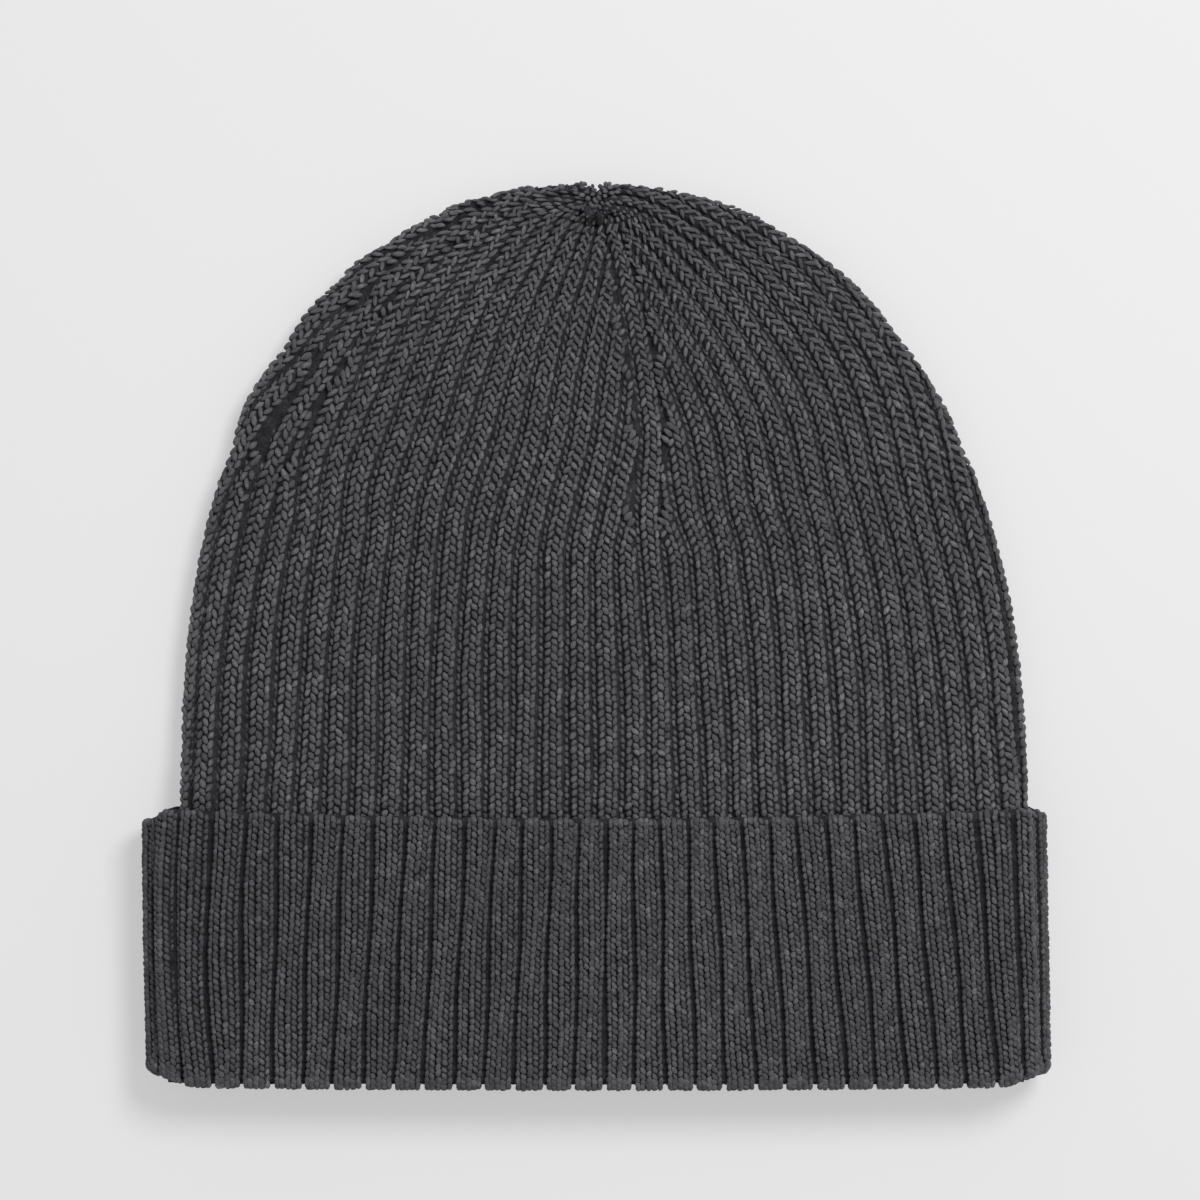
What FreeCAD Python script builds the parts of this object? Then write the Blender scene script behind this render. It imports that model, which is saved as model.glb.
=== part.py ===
import FreeCAD, Part
import os
import Sketcher

# A ribbed knit beanie lying flat and empty, with its cuff turned up. Millimetres.
# +X is across the hat, +Y runs from the cuff's folded edge to the tip of the crown, and
# +Z is up from the surface it lies on. The origin is on that surface, under the middle
# of the hat. The front and back of the fabric lie one over the other with an open pocket
# between them, which the head goes into from the cuff's end.

SIZES = {
    "hat_length": 216.5,        # folded edge to tip, lying flat
    "cuff_width": 216.0,
    "cuff_height": 64.8,
    "fabric": 2.6,              # one layer of the rib fabric
    "pocket": 9.0,              # open height between the front and back layers
    "clearance": 0.3,           # between the body and the cuff around it
    "mouth_recess": 1.5,        # the body ends this far inside the cuff's folded edge
    "body_half_width": 101.2,   # where the body comes out of the cuff
    "drape_length": 16.0,       # over which the body comes down from the cuff to the surface
    "crown_power": 2.5,         # outline: half width = full * (1 - u ^ power) ^ roundness
    "crown_roundness": 0.48,
    "crown_wall": 6.0,          # gathered fabric between the pocket and the tip
    "tip_half_width": 11.0,
    "tip_thickness": 9.0,
    "pocket_tip_half_width": 8.0,
    "pocket_tip_height": 6.5,
    "edge_round": 1.2,          # rounding of the cuff's folded edge and start edge
    "seam_width": 1.6,
    "seam_height": 0.6,
    "seam_fit": 0.05,           # side gap of the cuff's seam thread in its valley
    "gather_radius": 2.2,
    "gather_yarn_radius": 0.5,
    "knot_radius": 1.4,
    "label_width": 22.0,        # along the seam
    "label_length": 32.0,       # folded, across the seam
    "label_ply": 0.25,
    "label_start": 22.0,        # from the cuff's folded edge
    "stitch_radius": 0.15,
    "stitch_length": 3.2,
}

# Cells worked out from the sizes above, so that every sketch reads one name.
DERIVED = {
    "fold_y": "=-hat_length / 2",
    "mouth_y": "=-hat_length / 2 + mouth_recess",
    "cuff_top_y": "=-hat_length / 2 + cuff_height",
    "crown_length": "=hat_length - cuff_height",
    "body_thickness": "=pocket + 2 * fabric",
    "bore_half_width": "=cuff_width / 2 - fabric",
    "bore_height": "=pocket + 2 * fabric + 2 * clearance",
    "cuff_thickness": "=pocket + 4 * fabric + 2 * clearance",
    "mouth_half_width": "=cuff_width / 2 - fabric - clearance",
    "raised_z": "=(pocket + 4 * fabric + 2 * clearance) / 2",
    "resting_z": "=(pocket + 2 * fabric) / 2",
    "raised_floor": "=2 * fabric + clearance",
}

# Where the crown's cross-sections stand, as shares of the way from the cuff to the tip.
CROWN_STATIONS = (0.2, 0.32, 0.44, 0.55, 0.65, 0.74, 0.81, 0.87, 0.92, 0.955, 0.98)
THINNING_FROM = 0.8             # from here to the tip the crown also thins
LABEL_STITCHES = 5


def make_sheet(doc):
    """The spreadsheet of driving sizes, with one alias a row."""
    sheet = doc.addObject("Spreadsheet::Sheet", "Sizes")
    for row, (name, value) in enumerate(list(SIZES.items()) + list(DERIVED.items()), 1):
        sheet.set(f"A{row}", name)
        sheet.set(f"B{row}", str(value))
        sheet.setAlias(f"B{row}", name)
    doc.recompute()
    return sheet


def plane_of(body, role):
    """One of a body's own origin planes."""
    return next(f for f in body.Origin.OriginFeatures if f.Role == role)


def new_body(doc, label):
    body = doc.addObject("PartDesign::Body", label)
    body.Label = label
    body.Placement = FreeCAD.Placement()
    return body


def cross_section(body, name, y):
    """An empty sketch square to Y, at the height y, which is an expression."""
    sketch = body.newObject("Sketcher::SketchObject", name)
    sketch.AttachmentSupport = [(plane_of(body, "XZ_Plane"), "")]
    sketch.MapMode = "FlatFace"
    sketch.setExpression("AttachmentOffset.Base.z", f"-({y})")
    return sketch


def add_slot(sketch, prefix, half_width, height, middle_z):
    """A slot outline lying along X: two flat sides and two half-round ends."""
    up = FreeCAD.Vector(0, 0, 1)
    first = sketch.GeometryCount
    quarter_turn = 1.5707963267948966
    reach = 20.0
    radius = 5.0
    corner = [FreeCAD.Vector(-reach, 0, 0), FreeCAD.Vector(reach, 0, 0),
              FreeCAD.Vector(reach, 2 * radius, 0), FreeCAD.Vector(-reach, 2 * radius, 0)]
    right = Part.Circle(FreeCAD.Vector(reach, radius, 0), up, radius)
    left = Part.Circle(FreeCAD.Vector(-reach, radius, 0), up, radius)
    sketch.addGeometry(Part.LineSegment(corner[0], corner[1]), False)
    sketch.addGeometry(Part.ArcOfCircle(right, -quarter_turn, quarter_turn), False)
    sketch.addGeometry(Part.LineSegment(corner[2], corner[3]), False)
    sketch.addGeometry(Part.ArcOfCircle(left, quarter_turn, 3 * quarter_turn), False)
    floor, right, ceiling, left = range(first, first + 4)
    start, end, centre = 1, 2, 3
    for a, a_end, b, b_end in ((floor, end, right, start), (right, end, ceiling, start),
                               (ceiling, end, left, start), (left, end, floor, start)):
        sketch.addConstraint(Sketcher.Constraint("Tangent", a, a_end, b, b_end))
    sketch.addConstraint(Sketcher.Constraint("Horizontal", floor))
    sketch.addConstraint(Sketcher.Constraint("Symmetric", left, centre, right, centre, -2))
    sizes = (("span", Sketcher.Constraint("DistanceX", left, centre, right, centre, 2 * reach),
              f"2 * ({half_width}) - ({height})"),
             ("round", Sketcher.Constraint("Radius", right, radius), f"({height}) / 2"),
             ("level", Sketcher.Constraint("DistanceY", -1, 1, right, centre, radius),
              middle_z))
    for name, constraint, expression in sizes:
        index = sketch.addConstraint(constraint)
        sketch.renameConstraint(index, f"{prefix}_{name}")
        sketch.setExpression(f"Constraints.{prefix}_{name}", expression)


def crown_section(body, name, share, full, length, height, tip_height):
    """A cross-section of the crown at a share of its length, from the outline's formula."""
    thinning = max(0.0, (share - THINNING_FROM) / (1 - THINNING_FROM)) ** 2
    sketch = cross_section(body, name, f"Sizes.cuff_top_y + {share} * ({length})")
    half_width = f"({full}) * (1 - {share} ^ Sizes.crown_power) ^ Sizes.crown_roundness"
    add_slot(sketch, "slot", half_width,
             f"({height}) - {thinning} * (({height}) - ({tip_height}))", "Sizes.resting_z")
    return sketch


def flattened_tube(body, kind, name, grow):
    """A loft through the hat's length: raised inside the cuff, then down on the surface.

    grow holds the expressions that set the outside of the fabric apart from its pocket.
    """
    sections = []
    for index, (y, half_width, middle_z) in enumerate((
            (grow["open_end"], f"Sizes.mouth_half_width - {grow['inset']}", "Sizes.raised_z"),
            ("Sizes.cuff_top_y", f"Sizes.body_half_width - {grow['inset']}", "Sizes.raised_z"))):
        sketch = cross_section(body, f"{name}_cuff_{index}", y)
        add_slot(sketch, "slot", half_width, grow["height"], middle_z)
        sections.append(sketch)
    full = f"Sizes.body_half_width - {grow['inset']}"
    settled = cross_section(body, f"{name}_settled", "Sizes.cuff_top_y + Sizes.drape_length")
    add_slot(settled, "slot", full, grow["height"], "Sizes.resting_z")
    sections.append(settled)
    for index, share in enumerate(CROWN_STATIONS):
        sections.append(crown_section(body, f"{name}_crown_{index}", share, full,
                                      grow["length"], grow["height"], grow["tip_height"]))
    tip = cross_section(body, f"{name}_tip", f"Sizes.cuff_top_y + {grow['length']}")
    add_slot(tip, "slot", grow["tip_half_width"], grow["tip_height"], "Sizes.resting_z")
    sections.append(tip)
    loft = body.newObject(kind, name)
    loft.Profile = sections[0]
    loft.Sections = sections[1:]
    loft.Ruled = True
    return loft


def make_body_knit(doc):
    """The body and crown: a flattened tube of fabric, closed at the tip."""
    body = new_body(doc, "body_knit")
    outside = {"open_end": "Sizes.mouth_y", "inset": "0 * Sizes.fabric",
               "height": "Sizes.body_thickness", "length": "Sizes.crown_length",
               "tip_half_width": "Sizes.tip_half_width", "tip_height": "Sizes.tip_thickness"}
    flattened_tube(body, "PartDesign::AdditiveLoft", "outside", outside)
    pocket = {"open_end": "Sizes.mouth_y - 1", "inset": "Sizes.fabric",
              "height": "Sizes.pocket",
              "length": "(Sizes.crown_length - Sizes.crown_wall)",
              "tip_half_width": "Sizes.pocket_tip_half_width",
              "tip_height": "Sizes.pocket_tip_height"}
    flattened_tube(body, "PartDesign::SubtractiveLoft", "pocket", pocket)
    return body


def add_rectangle(sketch, left, right, bottom, top):
    """A rectangle whose four sides are set by expressions."""
    corners = [(-1, 1), (1, 1), (1, 2), (-1, 2)]
    points = [FreeCAD.Vector(x, y, 0) for x, y in corners]
    for index in range(4):
        sketch.addGeometry(Part.LineSegment(points[index], points[(index + 1) % 4]), False)
    for index in range(4):
        following = (index + 1) % 4
        sketch.addConstraint(Sketcher.Constraint("Coincident", index, 2, following, 1))
        direction = "Horizontal" if index % 2 == 0 else "Vertical"
        sketch.addConstraint(Sketcher.Constraint(direction, index))
    sides = (("left", "DistanceX", 0, 1, -1.0, left), ("right", "DistanceX", 0, 2, 1.0, right),
             ("bottom", "DistanceY", 0, 1, 1.0, bottom), ("top", "DistanceY", 2, 1, 2.0, top))
    for name, kind, line, end, value, expression in sides:
        index = sketch.addConstraint(Sketcher.Constraint(kind, -1, 1, line, end, value))
        sketch.renameConstraint(index, name)
        sketch.setExpression(f"Constraints.{name}", expression)


def pad_along_y(body, name, sketch, length):
    """Pads a cross-section towards the crown."""
    pad = body.newObject("PartDesign::Pad", name)
    pad.Profile = sketch
    pad.Reversed = True
    pad.setExpression("Length", length)
    return pad


def make_cuff_knit(doc):
    """The turned-up cuff: a band round the body, with a valley for its seam thread."""
    body = new_body(doc, "cuff_knit")
    ring = cross_section(body, "ring", "Sizes.fold_y")
    add_slot(ring, "outer", "Sizes.cuff_width / 2", "Sizes.cuff_thickness", "Sizes.raised_z")
    add_slot(ring, "bore", "Sizes.bore_half_width", "Sizes.bore_height", "Sizes.raised_z")
    pad_along_y(body, "band", ring, "Sizes.cuff_height")
    doc.recompute()
    band_volume = body.Shape.Volume
    valley = cross_section(body, "valley", "Sizes.fold_y")
    add_rectangle(valley, "-Sizes.seam_width / 2 - Sizes.seam_fit",
                  "Sizes.seam_width / 2 + Sizes.seam_fit",
                  "Sizes.fabric - Sizes.seam_height - Sizes.seam_fit",
                  "Sizes.fabric + Sizes.clearance")
    cut = body.newObject("PartDesign::Pocket", "seam_valley")
    cut.Profile = valley
    cut.setExpression("Length", "Sizes.cuff_height")
    doc.recompute()
    if not body.Shape.Volume < band_volume:
        raise RuntimeError("the seam valley cuts nothing")
    round_outer_rims(doc, body)
    return body


def round_outer_rims(doc, body):
    """Rounds the cuff's outer rim at the folded edge and at the start edge."""
    sheet = doc.getObject("Sizes")
    ends = (sheet.fold_y, sheet.cuff_top_y)
    names = []
    for index, edge in enumerate(body.Shape.Edges, 1):
        box = edge.BoundBox
        at_end = any(abs(box.YMin - y) < 0.01 and abs(box.YMax - y) < 0.01 for y in ends)
        outer = box.ZMin < 0.01 or box.ZMax > sheet.cuff_thickness - 0.01
        if at_end and outer:
            names.append(f"Edge{index}")
    cut = body.Tip
    fillet = body.newObject("PartDesign::Fillet", "rounded_rims")
    fillet.Base = (cut, names)
    fillet.setExpression("Radius", "Sizes.edge_round")


def make_cuff_seam_thread(doc):
    """The seam's thread through the cuff, lying in the valley on its inner face."""
    body = new_body(doc, "cuff_seam_thread")
    section = cross_section(body, "thread_section", "Sizes.fold_y + Sizes.edge_round")
    add_rectangle(section, "-Sizes.seam_width / 2", "Sizes.seam_width / 2",
                  "Sizes.fabric - Sizes.seam_height - Sizes.seam_fit",
                  "Sizes.fabric - Sizes.seam_fit")
    pad_along_y(body, "thread", section, "Sizes.cuff_height - 2 * Sizes.edge_round")
    return body


def make_body_seam_thread(doc):
    """The back seam's thread inside the body, following the pocket's floor."""
    body = new_body(doc, "body_seam_thread")
    sketch = body.newObject("Sketcher::SketchObject", "seam_profile")
    sketch.AttachmentSupport = [(plane_of(body, "YZ_Plane"), "")]
    sketch.MapMode = "FlatFace"
    low, high = "Sizes.fabric", "Sizes.raised_floor"
    thick = "Sizes.seam_height"
    end = f"Sizes.cuff_top_y + {THINNING_FROM} * (Sizes.crown_length - Sizes.crown_wall)"
    settled = "Sizes.cuff_top_y + Sizes.drape_length"
    places = (("Sizes.mouth_y", high, -107, 5.5), ("Sizes.cuff_top_y", high, -43, 5.5),
              (settled, low, -27, 2.6), (end, low, 73, 2.6),
              (end, f"{low} + {thick}", 73, 3.2), (settled, f"{low} + {thick}", -27, 3.2),
              ("Sizes.cuff_top_y", f"{high} + {thick}", -43, 6.1),
              ("Sizes.mouth_y", f"{high} + {thick}", -107, 6.1))
    points = [FreeCAD.Vector(y, z, 0) for _, _, y, z in places]
    count = len(places)
    for index in range(count):
        sketch.addGeometry(Part.LineSegment(points[index], points[(index + 1) % count]), False)
    for index in range(count):
        sketch.addConstraint(Sketcher.Constraint("Coincident", index, 2, (index + 1) % count, 1))
    for index, (y, z, along, up) in enumerate(places):
        for name, kind, value, expression in (("y", "DistanceX", along, y),
                                              ("z", "DistanceY", up, z)):
            at = sketch.addConstraint(Sketcher.Constraint(kind, -1, 1, index, 1, value))
            sketch.renameConstraint(at, f"{name}{index}")
            sketch.setExpression(f"Constraints.{name}{index}", expression)
    pad = body.newObject("PartDesign::Pad", "thread")
    pad.Profile = sketch
    pad.Midplane = True
    pad.setExpression("Length", "Sizes.seam_width")
    return body


def make_gathering_yarn(doc):
    """The yarn drawn tight through the last loops, as a small ring inside the tip."""
    ring = doc.addObject("Part::Torus", "crown_gathering_yarn")
    ring.Label = "crown_gathering_yarn"
    ring.setExpression("Radius1", "Sizes.gather_radius")
    ring.setExpression("Radius2", "Sizes.gather_yarn_radius")
    along_y = FreeCAD.Rotation(FreeCAD.Vector(1, 0, 0), 90)
    ring.Placement = FreeCAD.Placement(FreeCAD.Vector(), along_y)
    ring.setExpression("Placement.Base.y",
                       "Sizes.hat_length / 2 - Sizes.crown_wall - Sizes.gather_yarn_radius")
    ring.setExpression("Placement.Base.z", "Sizes.resting_z")
    return ring


def make_gathering_knot(doc):
    """The knot that fastens the gathering yarn off, against its ring."""
    knot = doc.addObject("Part::Ellipsoid", "gathering_knot")
    knot.Label = "gathering_knot"
    knot.Placement = FreeCAD.Placement()
    knot.setExpression("Radius1", "Sizes.knot_radius")
    knot.setExpression("Radius2", "Sizes.knot_radius * 1.3")
    knot.setExpression("Radius3", "Sizes.knot_radius")
    knot.setExpression("Placement.Base.x", "Sizes.gather_radius")
    knot.setExpression("Placement.Base.y", "Sizes.hat_length / 2 - Sizes.crown_wall"
                       " - 2 * Sizes.gather_yarn_radius - 0.8 * Sizes.knot_radius")
    knot.setExpression("Placement.Base.z", "Sizes.resting_z")
    return knot


def make_care_label(doc):
    """A folded woven strip: two plies, joined at the rounded end away from the seam."""
    body = new_body(doc, "care_label")
    profile = cross_section(body, "strip", "Sizes.fold_y + Sizes.label_start")
    add_rectangle(profile, "Sizes.seam_width / 2", "Sizes.seam_width / 2 + Sizes.label_length",
                  "Sizes.raised_floor", "Sizes.raised_floor + Sizes.seam_height")
    pad_along_y(body, "strip_pad", profile, "Sizes.label_width")
    gap = cross_section(body, "gap", "Sizes.fold_y + Sizes.label_start")
    add_rectangle(gap, "Sizes.seam_width / 2",
                  "Sizes.seam_width / 2 + Sizes.label_length - Sizes.label_ply",
                  "Sizes.raised_floor + Sizes.label_ply",
                  "Sizes.raised_floor + Sizes.seam_height - Sizes.label_ply")
    between = body.newObject("PartDesign::Pocket", "between_plies")
    between.Profile = gap
    between.setExpression("Length", "Sizes.label_width")
    return body


def make_label_stitches(doc):
    """Short stitches over the seam that hold the label's two ends."""
    bars = []
    for index in range(LABEL_STITCHES):
        bar = doc.addObject("Part::Cylinder", f"stitch_{index}")
        along_x = FreeCAD.Rotation(FreeCAD.Vector(0, 1, 0), 90)
        bar.Placement = FreeCAD.Placement(FreeCAD.Vector(), along_x)
        share = (index + 0.5) / LABEL_STITCHES
        bar.setExpression("Radius", "Sizes.stitch_radius")
        bar.setExpression("Height", "Sizes.stitch_length")
        bar.setExpression("Placement.Base.x", "-Sizes.seam_width / 4")
        bar.setExpression("Placement.Base.y", "Sizes.fold_y + Sizes.label_start"
                          f" + {share} * Sizes.label_width")
        bar.setExpression("Placement.Base.z", "Sizes.raised_floor + Sizes.seam_height"
                          " + Sizes.stitch_radius")
        bars.append(bar)
    stitches = doc.addObject("Part::Compound", "care_label_stitches")
    stitches.Label = "care_label_stitches"
    stitches.Links = bars
    stitches.Placement = FreeCAD.Placement()
    return stitches


def check(doc, parts):
    """Stops if any object failed or any sub-part has no valid shape."""
    for item in doc.Objects:
        failed = {"Invalid", "Error"} & set(item.State)
        if failed:
            raise RuntimeError(f"{item.Name}: {failed}")
    for part in parts:
        if part.Shape.isNull() or not part.Shape.isValid():
            raise RuntimeError(f"{part.Label} has no valid shape")


def main():
    doc = FreeCAD.newDocument("knit_beanie")
    make_sheet(doc)
    makers = (make_body_knit, make_cuff_knit, make_body_seam_thread, make_cuff_seam_thread,
              make_gathering_yarn, make_gathering_knot, make_care_label, make_label_stitches)
    parts = [make(doc) for make in makers]
    doc.recompute()
    check(doc, parts)
    os.makedirs("parts", exist_ok=True)
    for part in parts:
        part.Shape.exportStep(f"parts/{part.Label}.step")
        box = part.Shape.BoundBox
        print(f"{part.Label}: {part.Shape.Volume:.1f} mm3, {len(part.Shape.Solids)} solids, "
              f"x {box.XMin:.2f} to {box.XMax:.2f}, y {box.YMin:.2f} to {box.YMax:.2f}, "
              f"z {box.ZMin:.2f} to {box.ZMax:.2f}")


main()
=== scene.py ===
import math

import bpy
import numpy as np
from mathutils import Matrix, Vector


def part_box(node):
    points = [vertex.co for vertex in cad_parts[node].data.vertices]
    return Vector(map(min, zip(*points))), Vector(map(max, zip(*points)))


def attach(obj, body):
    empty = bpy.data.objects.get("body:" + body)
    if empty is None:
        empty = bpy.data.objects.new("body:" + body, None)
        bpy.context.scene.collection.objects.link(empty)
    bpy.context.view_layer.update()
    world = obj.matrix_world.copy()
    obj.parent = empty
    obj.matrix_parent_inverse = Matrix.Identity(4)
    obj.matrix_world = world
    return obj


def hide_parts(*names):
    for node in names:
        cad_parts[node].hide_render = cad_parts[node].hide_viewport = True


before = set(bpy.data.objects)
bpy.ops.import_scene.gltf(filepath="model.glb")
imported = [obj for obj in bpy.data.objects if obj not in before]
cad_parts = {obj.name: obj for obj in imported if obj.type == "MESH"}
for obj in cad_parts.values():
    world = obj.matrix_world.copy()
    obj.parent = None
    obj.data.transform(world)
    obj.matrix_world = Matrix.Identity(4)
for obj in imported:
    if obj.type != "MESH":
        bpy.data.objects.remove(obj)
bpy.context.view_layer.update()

# A ribbed knit beanie lying flat. Lengths here are millimetres until a mesh is made, in
# the frame of the CAD model: +X across the hat, +Y from the cuff's fold to the crown,
# +Z up from the surface it lies on. Every stitch that shows is a small mesh grain of its
# own, laid in rows and ribs over a fabric shell whose dark colour is painted shade for
# the gaps and valleys between the stitches.

MM = 0.001
rng = np.random.default_rng(7)

# ---------- sizes from the frame
BODY_LOW, BODY_HIGH = (np.array(corner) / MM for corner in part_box("body_knit"))
CUFF_LOW, CUFF_HIGH = (np.array(corner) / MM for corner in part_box("cuff_knit"))
FOLD_Y, CUFF_TOP_Y = CUFF_LOW[1], CUFF_HIGH[1]
CUFF_HALF_WIDTH = CUFF_HIGH[0]
CUFF_THICK = CUFF_HIGH[2]
TIP_Y = BODY_HIGH[1]
CROWN_LENGTH = TIP_Y - CUFF_TOP_Y
RUNNING_GAP = 0.3  # between the body and the cuff
FABRIC = CUFF_THICK - BODY_HIGH[2] - RUNNING_GAP  # one layer
BODY_HALF_THICK = (BODY_HIGH[2] - FABRIC - RUNNING_GAP) / 2
RAISED_Z = CUFF_THICK / 2  # mid height of the layers inside the cuff

# ---------- the knitting
RIBS = 64
SPINE_RIBS = (2, 18, 34, 50)  # ribs that run unbroken to the tip
PANEL_RIBS = RIBS // 4 - 1
ROW_AT_CUFF = 1.65  # height of a row where the body meets the cuff
BODY_ROWS = 79  # rows from the cuff's top edge to the tip
HIDDEN_ROWS = 37  # rows of the body inside the cuff
CUFF_ROW = 1.54
DECREASES = (0.472, 0.598, 0.702, 0.769, 0.838, 0.890, 0.943)
TAKEN_IN = (0.5, 0.6, 0.6, 0.6, 0.7, 0.8, 0.9, 1.2)  # ribs, at each end of a panel
TIP_END = 0.984  # the last row, drawn together by the yarn
STITCH_DEPTH = 0.6  # a stitch's middle, below the crest of its rib
SHELL_DEPTH = 1.05  # the shell, below the crest of its rib

# ---------- the outline
BODY_HALF_WIDTH = 101.2
CROWN_POWER = 2.5
CROWN_ROUNDNESS = 0.48
SIDE_STRETCH = 1.24  # rows at the sides stand this much taller
COURSE_BOW = 2.2  # how late a row turns up towards the side
MOUTH_FLARE = 0.03  # of the half width inside the cuff, per millimetre
FLARE_REACH = 60
DOME_POWER = 3.6  # how early the laid body's section falls away
BOXED_IN_CUFF = 3.5  # what the cuff adds to that power
CROWN_PUFF = 2.2  # how far the crown's front is puffed up
SETTLE_LENGTH = 24  # where the body comes down out of the cuff
BODY_LEAN = 2.0  # the body's drift to the right at the cuff
LEAN_END_Y = 80  # where that drift has ended
FRONT_THINNER, BACK_THINNER = 0.6, 0.2  # than the CAD, the front only above the cuff
LOBE_HEIGHT = 1.2  # the lobes of the crown's left outline
LOBE_WIDTH = 22  # degrees round the hat
TIP_THINNING = 0.42  # how much thinner the hat is at its tip
TIP_ZONE = 10.0  # the part of the tip that tips over forwards
TIP_PIVOT_Z = 5.5
TIP_LEAN = math.radians(65)
TIP_LEAN_WIDTH = 10.5
TIP_STRETCH, TIP_STRETCH_WIDTH = 0.6, 8  # how much it is drawn out, and how widely
TIP_RISE = 0.35  # how much of its height the tipped end keeps
TIP_PLEATS = 0.07  # their depth, as a share of the tip's radius


def smooth(x, start, end):
    """0 before start, 1 after end, and an even slope between."""
    k = np.clip((x - start) / (end - start), 0.0, 1.0)
    return k * k * (3 - 2 * k)


def bell(x, width):
    """1 at x = 0, falling off on both sides to 1/e at the width."""
    return np.exp(-(x / width) ** 2)


def unit(vectors):
    """The same directions, at length 1."""
    return vectors / np.maximum(np.linalg.norm(vectors, axis=-1, keepdims=True), 1e-9)


def outline_half_width(share):
    """Half width of the flat crown at a share of its length from the cuff to the tip."""
    share = np.clip(share, 0.0, 1.0)
    return BODY_HALF_WIDTH * (1 - share ** CROWN_POWER) ** CROWN_ROUNDNESS


def outline_by_length():
    """The crown's side outline as points, with the length run along it at each."""
    share = 1 - (1 - np.linspace(0, 1, 4001)) ** 2.5
    x = outline_half_width(share)
    y = CUFF_TOP_Y + share * CROWN_LENGTH
    run = np.concatenate([[0], np.cumsum(np.hypot(np.diff(x), np.diff(y)))])
    return x, y, run


OUTLINE_X, OUTLINE_Y, OUTLINE_RUN = outline_by_length()
SIDE_RATIO = OUTLINE_RUN[-1] / CROWN_LENGTH


def side_point(v):
    """Where the row at share v of the crown's length meets the outline."""
    v_up = np.clip(v, 0, 1)
    run = CROWN_LENGTH * (SIDE_STRETCH * v_up + (SIDE_RATIO - SIDE_STRETCH) * v_up ** 3)
    x = np.interp(run, OUTLINE_RUN, OUTLINE_X)
    y = np.interp(run, OUTLINE_RUN, OUTLINE_Y)
    below = np.minimum(v, 0) * CROWN_LENGTH
    inside_width = x + np.clip(-below, 0, FLARE_REACH) * MOUTH_FLARE
    return np.where(v < 0, inside_width, x), y + below


def lean_tip(table):
    """Tips the gathered end over towards the front, so that the gathering faces up."""
    pivot_y = TIP_Y - TIP_ZONE
    along = table[..., 1] - pivot_y
    share = smooth(along, 0, TIP_ZONE - (1 - TIP_END) * CROWN_LENGTH)
    angle = TIP_LEAN * share * bell(table[..., 0], TIP_LEAN_WIDTH)
    stretch = 1 + TIP_STRETCH * share * bell(table[..., 0], TIP_STRETCH_WIDTH)
    along = np.where(along > 0, along * stretch, along)
    height = table[..., 2] - TIP_PIVOT_Z
    leaned_y = pivot_y + along * np.cos(angle) - height * np.sin(angle)
    leaned_z = TIP_PIVOT_Z + TIP_RISE * along * np.sin(angle) + height * np.cos(angle)
    table[..., 1] = np.where(along > 0, leaned_y, table[..., 1])
    table[..., 2] = np.where(along > 0, leaned_z, table[..., 2])


def pleat_tip(v, angle, table):
    """Draws the last rows into uneven pleats round the gathered end."""
    turn = np.radians(angle)
    pleats = 0.6 * np.cos(9 * turn + 0.9) + 0.4 * np.cos(5 * turn - 0.7)
    amount = TIP_PLEATS * smooth(v, 0.88, 0.95)
    middle = table.mean(axis=1, keepdims=True)
    table[...] = middle + (table - middle) * (1 + amount[:, None] * pleats)[..., None]


def puff_left_side(v, angle, table):
    """Puffs the left side out between one decrease and the next, so its outline is lobed."""
    between = np.interp(v, DECREASES, np.arange(len(DECREASES))) % 1
    puff = LOBE_HEIGHT * np.sin(math.pi * between) ** 0.6
    near = bell(angle + 90, LOBE_WIDTH)
    away = unit(table - table.mean(axis=1, keepdims=True))
    table += away * (puff[:, None] * near[None])[..., None]


def make_body_table(v_low, count_v=260, count_t=1441):
    """Positions of the body's outer skin for rows v and angles from -180 to 180 degrees."""
    v = v_low + (1 - v_low) * (1 - (1 - np.linspace(0, 1, count_v)) ** 1.15)
    angle = np.linspace(-180, 180, count_t)
    front = np.abs(angle) <= 90
    quarter = np.where(front, np.abs(angle), 180 - np.abs(angle)) / 90
    table = np.zeros((count_v, count_t, 3))
    t = np.sin(np.linspace(0, math.pi / 2, 301))
    for row, level in enumerate(v):
        side_x, side_y = side_point(np.array(level))
        centre_y = CUFF_TOP_Y + level * CROWN_LENGTH
        line_x = side_x * t
        line_y = centre_y + (side_y - centre_y) * t ** COURSE_BOW
        in_cuff = 1 - smooth(level, -0.02, 0.12)
        power = DOME_POWER + BOXED_IN_CUFF * in_cuff
        tip = smooth(level, 0.72, 1.0)
        thin = (1 - TIP_THINNING * tip) * (1 - t ** power) ** 0.5
        puff = CROWN_PUFF * (1 - in_cuff) * (1 - t ** 2)
        front_half = (BODY_HALF_THICK - FRONT_THINNER) + FRONT_THINNER * in_cuff + puff
        back_half = BODY_HALF_THICK - BACK_THINNER + 0 * t
        settle = smooth(line_y, CUFF_TOP_Y + 1, CUFF_TOP_Y + SETTLE_LENGTH)
        mid = (RAISED_Z + (BODY_HALF_THICK - RAISED_Z) * settle) * (1 - 0.25 * tip)
        lean = BODY_LEAN * (1 - smooth(line_y, CUFF_TOP_Y, LEAN_END_Y))
        lean = lean * smooth(line_y, FOLD_Y, CUFF_TOP_Y)
        for face, half in ((front, front_half), (~front, -back_half)):
            z = mid + half * thin
            steps = np.sqrt(np.diff(line_x) ** 2 + np.diff(line_y) ** 2 + np.diff(half * thin) ** 2)
            run = np.concatenate([[0], np.cumsum(steps)])
            at = quarter[face] * run[-1]
            side = np.sign(angle[face])
            table[row, face, 0] = side * np.interp(at, run, line_x) + np.interp(at, run, lean)
            table[row, face, 1] = np.interp(at, run, line_y)
            table[row, face, 2] = np.interp(at, run, z)
    puff_left_side(v, angle, table)
    pleat_tip(v, angle, table)
    lean_tip(table)
    return v, angle, table


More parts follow.
